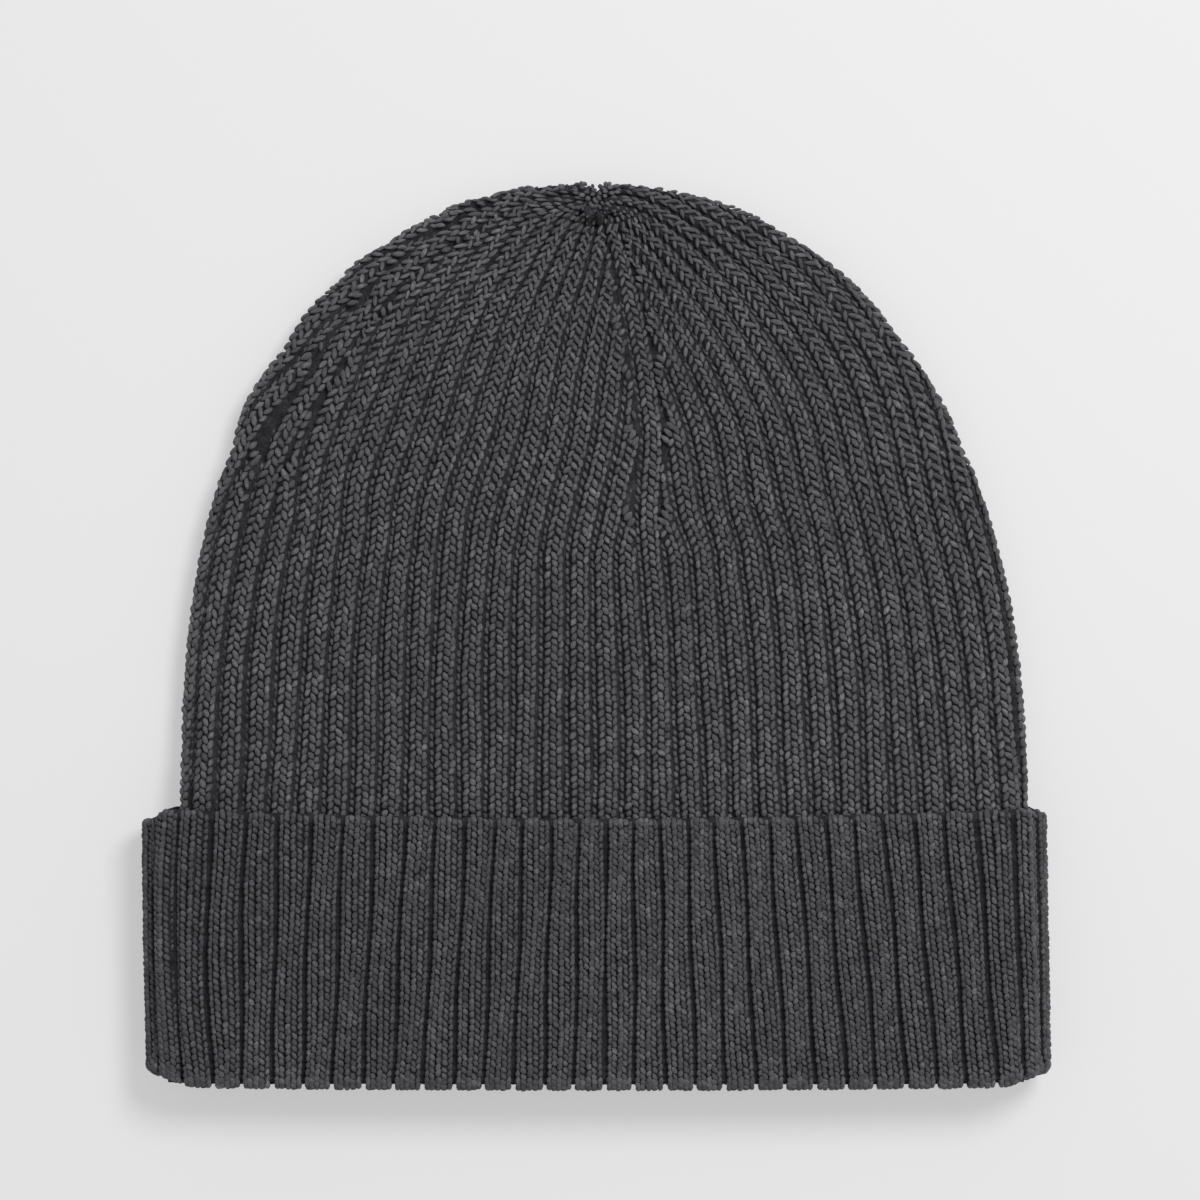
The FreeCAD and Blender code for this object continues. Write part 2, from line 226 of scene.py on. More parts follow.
class Skin:
    """A fabric skin given as a table of points, read at any row and angle."""

    def __init__(self, v, angle, table):
        self.v, self.angle, self.table = v, angle, table
        across = np.gradient(table, angle, axis=1)
        upward = np.gradient(table, v, axis=0)
        across[:, 0] = across[:, -1] = (across[:, 1] + across[:, -2]) / 2
        self.across, self.upward = unit(across), unit(upward)
        self.normal = unit(np.cross(across, upward))

    def read(self, v, angle):
        """Position, direction across, direction up the rib and outward normal."""
        v, angle = np.broadcast_arrays(np.asarray(v, float), np.asarray(angle, float))
        angle = (angle + 180) % 360 - 180
        row = np.clip(np.interp(v, self.v, np.arange(len(self.v))), 0, len(self.v) - 1.001)
        column = (angle + 180) / 360 * (len(self.angle) - 1)
        column = np.clip(column, 0, len(self.angle) - 1.001)
        r0, c0 = row.astype(int), column.astype(int)
        fr, fc = (row - r0)[..., None], (column - c0)[..., None]
        found = []
        for field in (self.table, self.across, self.upward, self.normal):
            low = field[r0, c0] * (1 - fc) + field[r0, c0 + 1] * fc
            high = field[r0 + 1, c0] * (1 - fc) + field[r0 + 1, c0 + 1] * fc
            found.append(low * (1 - fr) + high * fr)
        return [found[0], *(unit(direction) for direction in found[1:])]


# ---------- meshes from arrays
def new_mesh(name, material, points, faces, sizes, uv):
    """A smooth mesh object from points in millimetres and a flat list of face corners."""
    mesh = bpy.data.meshes.new(name)
    mesh.vertices.add(len(points))
    mesh.vertices.foreach_set("co", (points * MM).astype(np.float32).ravel())
    mesh.loops.add(len(faces))
    mesh.loops.foreach_set("vertex_index", faces.astype(np.int32))
    mesh.polygons.add(len(sizes))
    starts = np.concatenate([[0], np.cumsum(sizes)[:-1]]).astype(np.int32)
    mesh.polygons.foreach_set("loop_start", starts)
    mesh.polygons.foreach_set("loop_total", sizes.astype(np.int32))
    layer = mesh.uv_layers.new(name="OFBake")
    layer.data.foreach_set("uv", uv.astype(np.float32).ravel())
    mesh.update(calc_edges=True)
    mesh.validate()
    mesh.polygons.foreach_set("use_smooth", np.ones(len(sizes), bool))
    mesh.materials.append(material)
    piece = bpy.data.objects.new(name, mesh)
    bpy.context.scene.collection.objects.link(piece)
    return piece


def ring_mesh(name, material, grid):
    """A mesh from rows and columns of points that join up at their ends, both ways."""
    rows, columns = grid.shape[:2]
    r, c = np.indices((rows, columns))
    r2, c2 = (r + 1) % rows, (c + 1) % columns
    quads = np.stack([r * columns + c, r * columns + c2, r2 * columns + c2,
                      r2 * columns + c], -1)
    uv = np.stack([np.stack([c, c + 1, c + 1, c], -1) / columns,
                   np.stack([r, r, r + 1, r + 1], -1) / rows], -1)
    return new_mesh(name, material, grid.reshape(-1, 3), quads.ravel(),
                    np.full(rows * columns, 4), uv.reshape(-1, 2))


PLY_DEPTH, PLY_TWIST = 0.11, 3.4  # how the two plies of a yarn show along a stitch


def grain_template(around=8, rings=(-0.84, -0.44, 0.0, 0.44, 0.84)):
    """One closed leg of a stitch, of two-ply yarn: points as (along, side, out), faces, map."""
    points = [(-1.0, 0.0, 0.0)]
    for along in rings:
        body = (1 - abs(along) ** 2.4) ** 0.5 * (1 - 0.1 * along)
        for k in range(around):
            turn = 2 * math.pi * k / around
            radius = body * (1 + PLY_DEPTH * math.cos(2 * turn - PLY_TWIST * along))
            points.append((along, radius * math.cos(turn), radius * math.sin(turn)))
    points.append((1.0, 0.0, 0.0))
    top = len(points) - 1
    faces, sizes, uv = [], [], []
    levels = [-1.0, *rings, 1.0]
    heights = [(level + 1) / 2 for level in levels]
    for k in range(around):
        k2 = (k + 1) % around
        left, right = k / around, (k + 1) / around
        faces += [0, 1 + k2, 1 + k]
        uv += [((left + right) / 2, 0), (right, heights[1]), (left, heights[1])]
        sizes.append(3)
        for ring in range(len(rings) - 1):
            base, above = 1 + ring * around, 1 + (ring + 1) * around
            faces += [base + k, base + k2, above + k2, above + k]
            low, high = heights[ring + 1], heights[ring + 2]
            uv += [(left, low), (right, low), (right, high), (left, high)]
            sizes.append(4)
        base = 1 + (len(rings) - 1) * around
        faces += [base + k, base + k2, top]
        uv += [(left, heights[-2]), (right, heights[-2]), ((left + right) / 2, 1)]
        sizes.append(3)
    return np.array(points), np.array(faces), np.array(sizes), np.array(uv)


GRAIN = grain_template()
CLEAR_OF_FLOOR = 0.03  # the lowest that a stitch reaches
CELL_MARGIN = 0.06  # round each stitch in its cell of the atlas
TURN_IN_MAP = 0.98  # a turn round the yarn stays below the next number
YARN_MAP = "yarn"  # u: stitch number and place round it, v: along it


def grains(name, material, centre, along, out, length, width, height, bend):
    """A piece made of many yarn grains. along and out are unit directions at each one."""
    shape, faces, sizes, uv = GRAIN
    count = len(centre)
    side = unit(np.cross(out, along))
    out = np.cross(along, side)
    a, b, c = shape.T
    points = (centre[:, None]
              + along[:, None] * (a * length[:, None] / 2)[..., None]
              + side[:, None] * (b * width[:, None] / 2)[..., None]
              + out[:, None] * (c * height[:, None] / 2 - bend[:, None] * a ** 2)[..., None])
    points[..., 2] = np.maximum(points[..., 2], CLEAR_OF_FLOOR)
    all_faces = (faces + len(shape) * np.arange(count)[:, None]).ravel()
    all_sizes = np.tile(sizes, count)
    cells = math.ceil(math.sqrt(count))
    cell = np.stack([np.arange(count) % cells, np.arange(count) // cells], -1)
    spread = (cell[:, None] + CELL_MARGIN + (1 - 2 * CELL_MARGIN) * uv[None]) / cells
    numbered = uv[:, 0] * TURN_IN_MAP + np.arange(count)[:, None]
    yarn = np.stack(np.broadcast_arrays(numbered, uv[:, 1]), -1)
    piece = new_mesh(name, material, points.reshape(-1, 3), all_faces, all_sizes,
                     spread.reshape(-1, 2))
    layer = piece.data.uv_layers.new(name=YARN_MAP)
    layer.data.foreach_set("uv", yarn.astype(np.float32).ravel())
    return piece


def grains_by_sector(name, material, angle, sectors, shown, stitches):
    """Pieces made of the stitches shown, one piece for each sector round the hat."""
    sector = ((angle + 180) % 360 / (360 / sectors)).astype(int)
    made = []
    for index in range(sectors):
        chosen = shown & (sector == index)
        made.append(grains(f"{name}_{index + 1}", material, *(each[chosen] for each in stitches)))
    return made


# ---------- materials
class Nodes:
    """A material's node tree, with short ways to add and join its nodes."""

    def __init__(self, name):
        self.material = bpy.data.materials.new(name)
        self.material.use_nodes = True
        self.tree = self.material.node_tree
        self.tree.nodes.clear()

    def add(self, kind, settings=(), **inputs):
        """A node with its settings, and inputs that are numbers, colours or (node, socket)."""
        node = self.tree.nodes.new("ShaderNode" + kind)
        for key, value in dict(settings).items():
            setattr(node, key, value)
        for key, value in inputs.items():
            socket = node.inputs[int(key[1:])] if key[1:].isdigit() else node.inputs[
                key.replace("_", " ")]
            if isinstance(value, tuple) and hasattr(value[0], "outputs"):
                self.tree.links.new(value[0].outputs[value[1]], socket)
            else:
                socket.default_value = value
        return node

    def maths(self, operation, *values):
        """A Math node on up to three numbers or (node, socket) pairs."""
        inputs = {f"_{k}": value for k, value in enumerate(values)}
        return self.add("Math", {"operation": operation}, **inputs), 0

    def ramp(self, source, stops):
        """A colour ramp with (position, colour) stops."""
        node = self.add("ValToRGB", Fac=source)
        elements = node.color_ramp.elements
        elements[0].position, elements[0].color = stops[0][0], (*stops[0][1], 1)
        elements[1].position, elements[1].color = stops[-1][0], (*stops[-1][1], 1)
        for position, colour in stops[1:-1]:
            elements.new(position).color = (*colour, 1)
        return node, "Color"

    def surface(self, shader):
        """The finished material, with this shader as its surface."""
        self.add("OutputMaterial", Surface=(shader, "BSDF"))
        return self.material


def shades(tint, depth):
    """A yarn's dark, plain and light fibres, for a ramp. A depth below 1 darkens them all: painted
    shade.
    """
    factors = ((0.30, 0.34), (0.45, 0.8), (0.55, 1.3), (0.70, 3.1))
    return [(at, [channel * k * depth for channel in tint]) for at, k in factors]


def wool(nodes, colour, height, distance, depth=1.0):
    """The soft shader that all the yarn shares. A depth below 1 dims its shine, as part of painted
    shade.
    """
    bump = nodes.add("Bump", Strength=0.7, Distance=distance, Height=height)
    return nodes.add("BsdfPrincipled", Base_Color=colour, Normal=(bump, "Normal"), Roughness=0.9,
                     Specular_IOR_Level=0.2 * depth, Sheen_Weight=0.12 * depth,
                     Sheen_Roughness=0.45)


def stitch_material(name, tint):
    """Heathered yarn: fibres run slantwise along each stitch, and stitches differ in tone."""
    nodes = Nodes(name)
    where = nodes.add("UVMap", {"uv_map": YARN_MAP})
    split = nodes.add("SeparateXYZ", Vector=(where, "UV"))
    number = nodes.maths("FLOOR", (split, "X"))
    tone = nodes.add("TexWhiteNoise", {"noise_dimensions": "1D"}, W=number)
    slant = nodes.maths("MULTIPLY_ADD", (split, "X"), 7.0,
                        nodes.maths("MULTIPLY", (split, "Y"), 3.0))
    along = nodes.maths("MULTIPLY_ADD", (split, "Y"), 1.4, (tone, "Value"))
    spot = nodes.add("CombineXYZ", X=slant, Y=along)
    fibres = nodes.add("TexNoise", {}, Vector=(spot, "Vector"), Scale=1.0, Detail=5.0,
                       Roughness=0.8)
    place = nodes.add("TexCoord")
    mottle = nodes.add("TexNoise", {}, Vector=(place, "Object"), Scale=420.0, Detail=3.0,
                       Roughness=0.6)
    cloudy = nodes.add("TexNoise", {}, Vector=(place, "Object"), Scale=30.0, Detail=3.0)
    total = nodes.maths("MULTIPLY", (fibres, "Fac"), 0.52)
    total = nodes.maths("MULTIPLY_ADD", (mottle, "Fac"), 0.28, total)
    total = nodes.maths("MULTIPLY_ADD", (tone, "Value"), 0.09, total)
    total = nodes.maths("MULTIPLY_ADD", (cloudy, "Fac"), 0.11, total)
    colour = nodes.ramp(total, shades(tint, 1.0))
    return nodes.surface(wool(nodes, colour, (fibres, "Fac"), 0.0003))


def plain_yarn_material(name, tint, depth=1.0):
    """Heathered yarn with no stitch map: the shell behind the stitches, and loose yarn. A depth
    below 1 makes it a darker, duller copy of the yarn: painted shade.
    """
    nodes = Nodes(name)
    place = nodes.add("TexCoord")
    fibres = nodes.add("TexNoise", {}, Vector=(place, "Object"), Scale=2400.0, Detail=3.0,
                       Roughness=0.7)
    mottle = nodes.add("TexNoise", {}, Vector=(place, "Object"), Scale=420.0, Detail=3.0)
    total = nodes.maths("MULTIPLY", (fibres, "Fac"), 0.62)
    total = nodes.maths("MULTIPLY_ADD", (mottle, "Fac"), 0.38, total)
    colour = nodes.ramp(total, shades(tint, depth))
    return nodes.surface(wool(nodes, colour, (fibres, "Fac"), 0.0002, min(depth, 1.0)))


# ---------- rib and row layout
BODY_SKIN = Skin(*make_body_table(-(CUFF_TOP_Y - BODY_LOW[1]) / CROWN_LENGTH))
BODY_RIB = 2 * BODY_HALF_WIDTH * 2 / RIBS  # width of one rib above the cuff


def row_level(row):
    """Share of the crown's length at a row, counted from the cuff's top edge."""
    first = ROW_AT_CUFF / CROWN_LENGTH
    growth = (1 - first * BODY_ROWS) / BODY_ROWS ** 2
    return np.where(row < 0, row * first, row * first + np.maximum(row, 0) ** 2 * growth)


def panel_half(v):
    """Half the ribs left in each panel: each decrease round takes some in at both ends."""
    levels = [0.0, DECREASES[0] - 0.06, *DECREASES, 1.0]
    halves = PANEL_RIBS / 2 - np.cumsum([0, 0, *TAKEN_IN])
    return np.interp(v, levels, halves)


def ribs_round(v):
    """How many ribs are left round the hat."""
    return 4 + 8 * panel_half(v)


def spine_twist(v):
    """How far the spines wander round the hat, in degrees, where the crown is gathered."""
    return 3.0 * smooth(v, 0.45, 0.62) * (1 - smooth(v, 0.85, 1.0))


def wander(v, angle):
    """Small sideways drift of the ribs, in degrees."""
    slow = 0.22 * np.sin(2 * math.pi * (1.1 * v + angle / 60))
    return slow + 0.16 * np.sin(2 * math.pi * (2.7 * v - angle / 24)) * smooth(v, -0.3, 0.1)


def panel_angle(v, quarter, position):
    """Angle of a place in a panel: position counts ribs from the panel's middle."""
    middle = SPINE_RIBS[0] * 360 / RIBS + 90 * quarter + 45
    angle = middle + position * (360 / ribs_round(v)) + spine_twist(v)
    return angle + wander(v, angle)


# Columns of one body rib: offset in ribs, tilt, length, width, thickness.
BODY_COLUMNS = (
    (-0.37, -8, 1.55, 1.0, 1.0),
    (-0.12, 26, 1.98, 1.2, 1.2),
    (0.13, -29, 1.98, 1.24, 1.25),
    (0.37, 24, 1.95, 1.18, 1.2),
)
BODY_VALLEY = BODY_COLUMNS[0][0]
BODY_CREST = 0.13
VALLEY_DEPTH = 1.05
VALLEY_WIDTH = 0.165  # in ribs
LEFT_VALLEYS_AT = -77  # degrees round the hat
LEFT_VALLEYS_SPAN = 11
LEFT_VALLEYS_DEEPER = 0.65
CROWN_SPREAD = (0.0, -0.03, -0.01, 0.01)  # how the columns move apart towards the tip
SLOT_PLACE, SLOT_WIDTH = 0.6, 0.17  # of the slots beside a spine, in ribs from it
SLOT_DEEPER = 1.3  # how much deeper they are at each decrease
SLOT_LIFT, SLOT_LENGTH = 0.008, 0.016  # of the deeper places, as the crown's shares


def from_valley(phase):
    """Signed distance in ribs from the nearest valley."""
    return (phase + 0.5) % 1 - 0.5


def valley_depth(v, angle):
    """Depth of the valleys between the ribs: the few beside the left edge are deepest."""
    angle = (angle + 180) % 360 - 180
    on_left = bell(angle - LEFT_VALLEYS_AT, LEFT_VALLEYS_SPAN)
    on_left = on_left * (1 - smooth(v, 0.5, 0.8))
    return VALLEY_DEPTH + LEFT_VALLEYS_DEEPER * on_left


def body_relief(offset, deep):
    """Height of a rib's surface below its crest, for an offset in ribs from its middle."""
    valley = np.exp(-np.abs(from_valley(offset - BODY_VALLEY) / VALLEY_WIDTH) ** 2.2)
    round_off = 1 - np.cos(2 * math.pi * (offset - BODY_CREST))
    return -deep * valley - 0.16 * round_off


def groove(v, from_spine):
    """Depth of the slots beside a spine, at a distance in ribs from the spine's middle."""
    slots = 0.0
    for level in DECREASES:
        slots = slots + bell(v - level - SLOT_LIFT, SLOT_LENGTH)
    depth = smooth(v, DECREASES[0] - 0.04, DECREASES[0]) * (1.0 + SLOT_DEEPER * slots)
    return depth * bell(from_spine - SLOT_PLACE, SLOT_WIDTH)


def rib_place(v, angle):
    """Offset within the nearest rib, and the distance in ribs from the nearest spine."""
    pitch = 360 / ribs_round(v)
    start = SPINE_RIBS[0] * 360 / RIBS
    turned = (angle - wander(v, angle) - start - spine_twist(v) + 45) % 90 - 45
    side = np.abs(turned) / pitch
    from_middle = 45 / pitch - side
    inside = np.where(turned > 0, -from_middle, from_middle)
    return np.where(side < 0.5, turned / pitch, inside - np.round(inside)), side


def body_columns():
    """Every column of body stitches as (quarter, place in the panel, kind, on a spine)."""
    found = []
    for quarter in range(4):
        for rib in range(-(PANEL_RIBS // 2), PANEL_RIBS // 2 + 1):
            for kind, column in enumerate(BODY_COLUMNS):
                found.append((quarter, rib + column[0], kind, False))
        for kind, column in enumerate(BODY_COLUMNS):
            found.append((quarter, column[0], kind, True))
    return found


def body_stitches():
    """Where all body stitches are: arrays of their v, angle, kind of column and row."""
    rows = np.arange(-HIDDEN_ROWS, BODY_ROWS)
    found = []
    for quarter, place, kind, spine in body_columns():
        column_rows = rows + (0.5 if kind in (1, 3) else 0.0)
        v = row_level(column_rows)
        half = panel_half(v)
        position = half + 0.5 + place if spine else np.full(v.shape, place)
        position = position + CROWN_SPREAD[kind] * smooth(v, 0.66, 0.76)
        keep = (v < TIP_END) & (spine | (np.abs(place) < half - 0.03))
        known = (v, panel_angle(v, quarter, position), np.full(v.shape, kind), column_rows)
        found.append([values[keep] for values in known])
    return [np.concatenate(values) for values in zip(*found)]


def rib_width(v, angle):
    """Width of one rib in millimetres at a place on the body."""
    step = 0.5
    here = BODY_SKIN.read(v, angle - step)[0]
    there = BODY_SKIN.read(v, angle + step)[0]
    return np.linalg.norm(there - here, axis=-1) / (2 * step) * 360 / ribs_round(v)


def row_height(v, angle, row):
    """Distance in millimetres from one row to the next at a place on the body."""
    step = 0.004
    ahead = BODY_SKIN.read(v + step, angle)[0]
    behind = BODY_SKIN.read(v - step, angle)[0]
    gaps = row_level(row + 0.5) - row_level(row - 0.5)
    return np.linalg.norm(ahead - behind, axis=-1) / (2 * step) * gaps


def lay_on_slope(across, out, slope):
    """Turns the directions at each stitch to lie on a rib's flank."""
    turn = np.arctan(slope)[:, None]
    return (across * np.cos(turn) + out * np.sin(turn),
            out * np.cos(turn) - across * np.sin(turn))


def jitter(count, spread):
    """Small random shifts, one for each stitch."""
    return rng.normal(0, spread, count)[:, None]


STITCH_SCALES = (0.34, 1.12)  # least and most of a stitch's width
STITCH_STRETCHES = (0.55, 1.6)  # least and most of its length
BARE_SLOT = 1.35  # no stitches where a slot is deeper than this
BODY_DIP = 15  # degrees by which a stitch's upper end goes in
MARK_LEAN = 38  # of the crossed stitches at a decrease, in degrees
MARK_SIZE = (2.9, 1.3, 1.2)  # length, width, thickness
GATHER_SIZE = (1.4, 0.95, 0.9)  # the same for the stitches drawn together at the tip
# Bands of pieces: name, from and to which share of the crown's length, pieces round the hat.
BODY_BANDS = (
    ("inside_cuff", -1.0, 0.0, 8),
    ("lower", 0.0, 0.24, 6),
    ("middle", 0.24, 0.5, 6),
    ("crown", 0.5, 1.0, 6),
)


def make_body_stitches(material):
    """All the body's stitches, in pieces by height and by place round the hat."""
    v, angle, kind, row = body_stitches()
    count = len(v)
    columns = np.array(BODY_COLUMNS)[kind]
    place, across, upward, out = BODY_SKIN.read(v, angle)
    wide = rib_width(v, angle)
    scale = np.clip(wide / BODY_RIB, *STITCH_SCALES)
    tall = np.clip(row_height(v, angle, row) / ROW_AT_CUFF, *STITCH_STRETCHES)
    offset, from_spine = rib_place(v, angle)
    sunk = groove(v, from_spine)
    # Where ribs are narrow, a rib loses its valley column first and then one of the others.
    shown = ((kind > 0) | (scale > 0.74)) & ((kind != 2) | (scale > 0.5))
    shown &= (sunk < BARE_SLOT) | (v > 0.95)
    step = 0.03
    deep = valley_depth(v, angle)
    rise = (body_relief(offset + step, deep) - body_relief(offset - step, deep)) / (2 * step)
    depth = body_relief(offset, deep) * scale ** 0.2 - sunk
    at_tip = smooth(v, 0.93, 0.97)
    depth = depth - STITCH_DEPTH - 0.3 * at_tip
    place = place + out * (depth + rng.normal(0, 0.06, count))[:, None]
    across, out = lay_on_slope(across, out, rise / np.maximum(wide, 2.0) * scale)
    tilt = np.radians(columns[:, 1] + rng.normal(0, 8, count)) * (1 - 0.5 * at_tip)
    along = upward * np.cos(tilt)[:, None] + across * np.sin(tilt)[:, None]
    dip = np.radians(BODY_DIP - 10 * at_tip)[:, None]
    along = along * np.cos(dip) - out * np.sin(dip)
    centre = place + across * jitter(count, 0.1) + upward * jitter(count, 0.1)
    size = rng.normal(1, 0.08, (count, 3)).clip(0.75, 1.25)
    length = columns[:, 2] * tall * size[:, 0] * np.clip(2.0 * scale, 0.65, 1)
    length = length * (1 - 0.25 * at_tip)
    width = columns[:, 3] * scale * size[:, 1] * np.where(scale > 0.5, 1, 1.35)
    width = width * (1 + 0.2 * smooth(-scale, -0.85, -0.6))
    height = columns[:, 4] * np.clip(scale, 0.75, 1.0) * size[:, 2]
    stitches = (centre, along, out, length, width, height, np.full(count, 0.25))
    made = []
    for level, low, high, sectors in BODY_BANDS:
        band = shown & (v >= low) & (v < high)
        made += grains_by_sector(f"body_stitches_{level}", material, angle, sectors, band,
                                 stitches)
    return made


def make_fashion_marks(material):
    """The crossed stitches where each decrease round takes a rib in at a spine."""
    v, angle, side = [], [], []
    for level in DECREASES[:-1]:
        for spine in range(4):
            for way in (-1, 1):
                for lift in range(3):
                    at = level + 0.010 * lift - 0.012
                    half = panel_half(np.array(at))
                    position = half + 0.5 + way * (0.62 + 0.12 * lift)
                    v.append(at)
                    angle.append(float(panel_angle(at, spine, position)))
                    side.append(way)
    v, angle, side = np.array(v), np.array(angle), np.array(side)
    count = len(v)
    place, across, upward, out = BODY_SKIN.read(v, angle)
    lean = np.radians(MARK_LEAN + rng.normal(0, 6, count)) * side
    along = upward * np.cos(lean)[:, None] - across * np.sin(lean)[:, None]
    centre = place - out * (0.42 + rng.normal(0, 0.05, count))[:, None]
    scale = np.clip(rib_width(v, angle) / BODY_RIB, 0.6, 1.0)
    length, width, height = (size * scale for size in MARK_SIZE)
    return grains("crown_decrease_stitches", material, centre, along, out, length, width,
                  height, np.full(count, 0.35))


def make_tip_gather(material):
    """The last stitches, drawn together over the gathering yarn at the middle of the tip."""
    around, shares = 15, (0.95, 0.6, 0.25)  # stitches in a ring, and the rings' sizes
    turn, share = np.meshgrid(np.arange(around) * 360 / around, shares, indexing="ij")
    turn, share = turn.ravel(), share.ravel()
    count = len(turn)
    half_step = 12
    turn = turn + rng.normal(0, 4, count) + half_step * (share == shares[1])
    ring = BODY_SKIN.read(np.full(count, TIP_END), turn)[0]
    whole = BODY_SKIN.read(np.full(360, TIP_END), np.arange(360.0))[0]
    middle = whole.mean(axis=0)
    facing = np.cross(whole[90] - whole[270], whole[0] - whole[180])
    facing = unit(facing) * np.sign(facing[2])
    spoke = ring - middle
    reach = np.linalg.norm(spoke, axis=1)
    spoke = spoke / reach[:, None]
    keep = (share > shares[2]) | (np.arange(count) % 2 < 1)
    sunk = 0.75 + 0.25 * (1 - share) ** 1.5 + rng.normal(0, 0.08, count)
    centre = middle + spoke * (reach * share)[:, None] - facing * sunk[:, None]
    along = unit(spoke - facing * (0.9 - 0.6 * share)[:, None])
    facing = np.broadcast_to(facing, centre.shape)
    size = rng.normal(1, 0.12, (count, 3)).clip(0.7, 1.3)
    length, width, height = (GATHER_SIZE * size).T
    stitches = (centre, along, facing, length, width, height, np.full(count, 0.15))
    return grains("tip_gather_stitches", material, *(each[keep] for each in stitches))


def closing_rows(place, sink, shares=(0.7, 0.4, 0.05)):
    """Rows that close a ring of points towards its middle, sinking as they go."""
    middle = place.mean(axis=0)
    return np.array([middle + (place - middle) * share + sink * (1 - share)
                     for share in shares])


def make_body_fabric(material):
    """The body's shell: ribbed outside, plain rib inside, joined at the open end."""
    low = BODY_SKIN.v[0]
    finer = 0.4  # from here up the rows stand closer
    v_out = np.concatenate([np.linspace(low, finer, 52)[:-1], np.linspace(finer, TIP_END, 90)])
    angle = np.linspace(-180, 180, RIBS * 9, endpoint=False)
    v_grid, a_grid = np.meshgrid(v_out, angle, indexing="ij")
    place, _, _, out = BODY_SKIN.read(v_grid, a_grid)
    offset, from_spine = rib_place(v_grid, a_grid)
    scale = np.clip(rib_width(v_grid, a_grid) / BODY_RIB, 0.3, 1.12)
    relief = body_relief(offset, valley_depth(v_grid, a_grid)) * scale ** 0.2
    depth = relief - groove(v_grid, from_spine) - SHELL_DEPTH
    depth = np.maximum(depth, -FABRIC + 0.2)
    outside = place + out * depth[..., None]
    sink = np.array([0, -0.7, -1.0])
    cap = closing_rows(outside[-1], sink)
    v_in = np.linspace(0.94, low, 24)
    v_grid, a_grid = np.meshgrid(v_in, angle, indexing="ij")
    place, _, _, out = BODY_SKIN.read(v_grid, a_grid)
    depth = -FABRIC + 0.4 + 0.3 * np.cos(2 * math.pi * a_grid / 360 * RIBS)
    inside = place + out * depth[..., None]
    lining = closing_rows(inside[0], sink)[::-1]
    grid = np.concatenate([outside, cap, lining, inside])
    return ring_mesh("body_fabric", material, grid)


# ---------- the cuff
CUFF_EDGE_ROUND = FABRIC / 2
FOLD_ROUND = FABRIC + RUNNING_GAP / 2  # outer radius of the folded edge
CUFF_RUN = CUFF_TOP_Y - CUFF_EDGE_ROUND - FOLD_Y - FOLD_ROUND
SIDE_ROUND = 11.0  # how far from its sides the cuff's section turns
CUFF_REACH = CUFF_HALF_WIDTH - SIDE_ROUND + math.pi / 2 * SIDE_ROUND
CUFF_RIB = CUFF_REACH * 4 / RIBS
CUFF_DOME = 0.9  # how far the cuff's front sinks to its sides
CUFF_DRIFT = 4.2  # the most that a rib leans to the side
UPRIGHT_AT, UPRIGHT_STEP = 18, 122  # where a rib is about upright, and how far to the next
BOW_AT, BOW_DEPTH, BOW_WIDTH = -100, 2.1, 14  # of the ribs beside the left edge
CALM_FROM, CALM_WIDTH = 92, 12  # further out the ribs lean less
CUFF_SHIFT = 1.0  # how far right of the start edge the fold stands
EDGE_RISE = 2.2  # of the start edge, 100 mm from its middle
# Its two rounded corners: side, how far it falls, and from where to where.
EDGE_CORNERS = ((-1, 3.2, 100, 108.5), (1, 1.9, 104.5, 109))
FOLD_BOW, FOLD_CORNER = 0.7, 2.7  # rise of the folded edge to its sides, and at its corners
CUFF_SECTORS = 8


def cuff_angle(rib, share):
    """Angle of a place counted in ribs, at a share of the way from the start edge down.

    At the fold the ribs stand evenly. Towards the start edge they lean, and beside the
    left edge they bow outwards.
    """
    angle = (rib * 360 / RIBS + 180) % 360 - 180
    front = np.abs(angle) <= 90
    x = CUFF_REACH * np.where(front, angle, np.sign(angle) * (180 - np.abs(angle))) / 90
    share_down = np.clip(share, 0, 1)
    lean = CUFF_DRIFT * np.sin(math.pi * (x - UPRIGHT_AT) / UPRIGHT_STEP) + 0.3
    drift = lean * (share_down - 1)
    bow = -BOW_DEPTH * bell(x - BOW_AT, BOW_WIDTH) * np.sin(math.pi * share_down)
    calm = bell(np.maximum(np.abs(x) - CALM_FROM, 0), CALM_WIDTH)
    sway = 0.25 * np.sin(2 * math.pi * (share * 1.3 + rib * 0.37)) * calm
    moved = (drift * calm + bow) * np.where(front, 1.0, 0.4) + sway
    return angle + moved * np.where(front, 1, -1) * 90 / CUFF_REACH


def cuff_section(angle):
    """Outer skin of the cuff at its mid height: position and outward direction in X, Z."""
    quarter = np.where(np.abs(angle) <= 90, np.abs(angle), 180 - np.abs(angle)) / 90
    front = np.abs(angle) <= 90
    flat = CUFF_HALF_WIDTH - SIDE_ROUND
    run = quarter * CUFF_REACH
    turn = np.clip((run - flat) / SIDE_ROUND, 0, math.pi / 2)
    x = np.minimum(run, flat) + SIDE_ROUND * np.sin(turn)
    dome = CUFF_DOME * (np.minimum(run, flat) / flat) ** 3
    z = (CUFF_THICK / 2 - np.where(front, dome, 0)) * np.cos(turn)
    side = np.sign(angle)
    up = np.where(front, 1.0, -1.0)
    place = np.stack([side * x, 0 * x, RAISED_Z + up * z], -1)
    fall = np.where(front, 3 * CUFF_DOME / flat * (np.minimum(run, flat) / flat) ** 2, 0)
    out = np.stack([side * (np.sin(turn) + fall), 0 * x, up * np.cos(turn)], -1)
    return place, unit(out)


def cuff_top(x):
    """The start edge's height along Y: it rises towards the sides and rounds off there."""
    y = CUFF_TOP_Y + EDGE_RISE * (x / 100) ** 2
    for side, fall, start, end in EDGE_CORNERS:
        y = y - fall * smooth(side * x, start, end)
    return y


def cuff_bottom(x):
    """The folded edge's height along Y: bowed, and rounded at its two corners."""
    q = np.abs(x) / CUFF_HALF_WIDTH
    return FOLD_Y + FOLD_BOW * q ** 2 + FOLD_CORNER * smooth(q, 0.87, 1.01)


